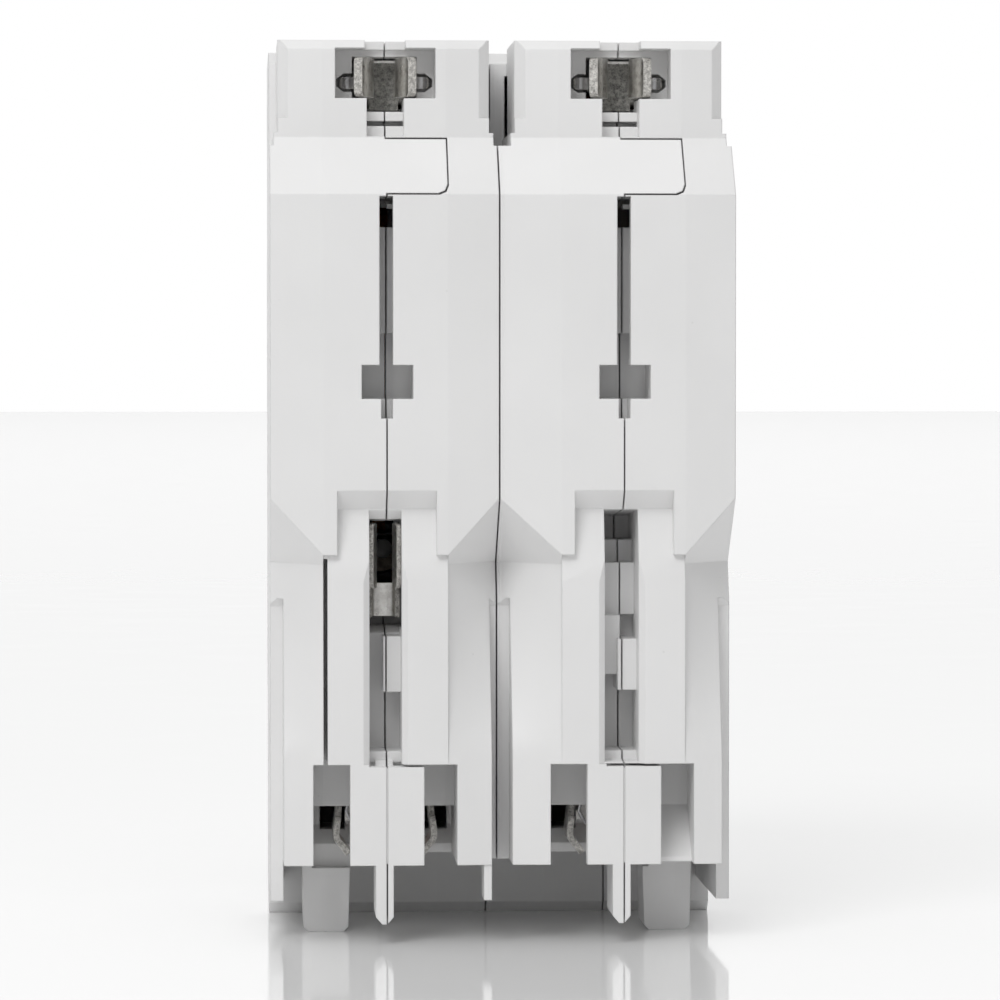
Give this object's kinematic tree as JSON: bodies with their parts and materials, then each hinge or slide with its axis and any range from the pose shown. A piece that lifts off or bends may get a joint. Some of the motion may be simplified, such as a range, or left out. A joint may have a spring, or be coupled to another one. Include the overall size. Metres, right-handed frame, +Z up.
{
  "type": "gfci breaker",
  "caption": "Plug-on ground-fault circuit breaker with tied toggle handles, rear jaws, hooked load clips and a test button.",
  "frame": {"origin": "centre of the bounding box in plan, on the plane the part stands on", "axes": "+Z up as it stands on its load end, +Y toward the toggle handles, -Y is the plug-on rear, +X across the poles"},
  "size_m": [0.0498, 0.074, 0.097],
  "materials": {
    "case_plastic": "satin moulded white",
    "tin": "tin plated",
    "steel": "satin",
    "copper": "copper",
    "silver": "silver contact",
    "bimetal": "two-layer strip",
    "fibre": "vulcanised fibre",
    "board": "coated circuit board",
    "dark": "black moulding",
    "blue": "coated disc",
    "yellow": "boxed film",
    "lens": "tinted lens"
  },
  "bodies": {
    "case": {"case_a_left": "case_plastic", "case_a_right": "case_plastic", "case_b_left": "case_plastic", "case_b_right": "case_plastic", "rivet_upper_rear": "steel", "rivet_lower_rear": "steel", "rivet_top_front": "steel", "rivet_bottom": "steel", "line_jaw_a": "tin", "line_jaw_b": "tin", "jaw_spring_a": "steel", "jaw_spring_b": "steel", "fixed_contact_a": "silver", "fixed_contact_b": "silver", "arc_chute_a": "fibre", "arc_chute_b": "fibre", "main_spring_a": "steel", "main_spring_b": "steel", "bimetal_a": "bimetal", "bimetal_b": "bimetal", "magnet_yoke_a": "steel", "magnet_yoke_b": "steel", "braid_a": "copper", "braid_b": "copper", "load_strap_a": "copper", "load_strap_b": "copper", "load_clip_a": "tin", "load_clip_b": "tin", "clip_spring_a": "steel", "clip_spring_b": "steel", "neutral_jaw": "tin", "neutral_lead": "dark", "sense_toroid": "dark", "circuit_board": "board", "varistor": "blue", "capacitor": "yellow", "test_switch": "dark", "status_light": "lens", "solenoid_coil": "copper", "plunger_spring": "steel", "test_spring": "steel"},
    "handles": {"handle_a": "case_plastic", "handle_b": "case_plastic", "handle_tie": "case_plastic"},
    "trip_shaft": {"trip_bar": "dark"},
    "solenoid_plunger": {"plunger": "steel"},
    "test_push": {"test_button": "case_plastic"},
    "arm_a": {"contact_arm_a": "copper", "moving_contact_a": "silver"},
    "lever_a": {"trip_lever_a": "steel"},
    "flap_a": {"armature_a": "steel"},
    "arm_b": {"contact_arm_b": "copper", "moving_contact_b": "silver"},
    "lever_b": {"trip_lever_b": "steel"},
    "flap_b": {"armature_b": "steel"}
  },
  "joints": [
    {"name": "handle_swing", "type": "hinge", "parent": "case", "child": "handles", "pos_m": [0, 0.017, 0.05], "axis": [1, 0, 0], "range_deg": [0, 40]},
    {"name": "trip_swing", "type": "hinge", "parent": "case", "child": "trip_shaft", "pos_m": [0, 0.007, 0.038], "axis": [1, 0, 0], "range_deg": [0, 12]},
    {"name": "plunger_slide", "type": "slide", "parent": "case", "child": "solenoid_plunger", "axis": [0, 0, 1], "range_m": [0, 0.001], "stiffness_N_per_m": 400, "deforming": ["plunger_spring"]},
    {"name": "test_press", "type": "slide", "parent": "case", "child": "test_push", "axis": [0, -1, 0], "range_m": [0, 0.0015], "stiffness_N_per_m": 400, "deforming": ["test_spring"]},
    {"name": "arm_swing_a", "type": "hinge", "parent": "case", "child": "arm_a", "pos_m": [-0.01245, 0.007, 0.056], "axis": [1, 0, 0], "range_deg": [0, 20], "deforming": ["main_spring_a", "braid_a"]},
    {"name": "lever_swing_a", "type": "hinge", "parent": "case", "child": "lever_a", "pos_m": [-0.01245, 0.003, 0.071], "axis": [-1, 0, 0], "range_deg": [0, 10]},
    {"name": "armature_swing_a", "type": "hinge", "parent": "case", "child": "flap_a", "pos_m": [-0.01245, -0.0004, 0.0435], "axis": [-1, 0, 0], "range_deg": [0, 5]},
    {"name": "arm_swing_b", "type": "hinge", "parent": "case", "child": "arm_b", "pos_m": [0.01295, 0.007, 0.056], "axis": [1, 0, 0], "range_deg": [0, 20], "deforming": ["main_spring_b", "braid_b"]},
    {"name": "lever_swing_b", "type": "hinge", "parent": "case", "child": "lever_b", "pos_m": [0.01295, 0.003, 0.071], "axis": [-1, 0, 0], "range_deg": [0, 10]},
    {"name": "armature_swing_b", "type": "hinge", "parent": "case", "child": "flap_b", "pos_m": [0.01295, -0.0004, 0.0435], "axis": [-1, 0, 0], "range_deg": [0, 5]}
  ],
  "couplings": [
    {"joint": "trip_swing", "follows": "plunger_slide", "rad_per_m": 209},
    {"joint": "arm_swing_a", "follows": "handle_swing", "ratio": 0.5},
    {"joint": "lever_swing_a", "follows": "plunger_slide", "rad_per_m": 167.2},
    {"joint": "armature_swing_a", "follows": "plunger_slide", "rad_per_m": 83.6},
    {"joint": "arm_swing_b", "follows": "handle_swing", "ratio": 0.5},
    {"joint": "lever_swing_b", "follows": "plunger_slide", "rad_per_m": 167.2},
    {"joint": "armature_swing_b", "follows": "plunger_slide", "rad_per_m": 83.6}
  ]
}
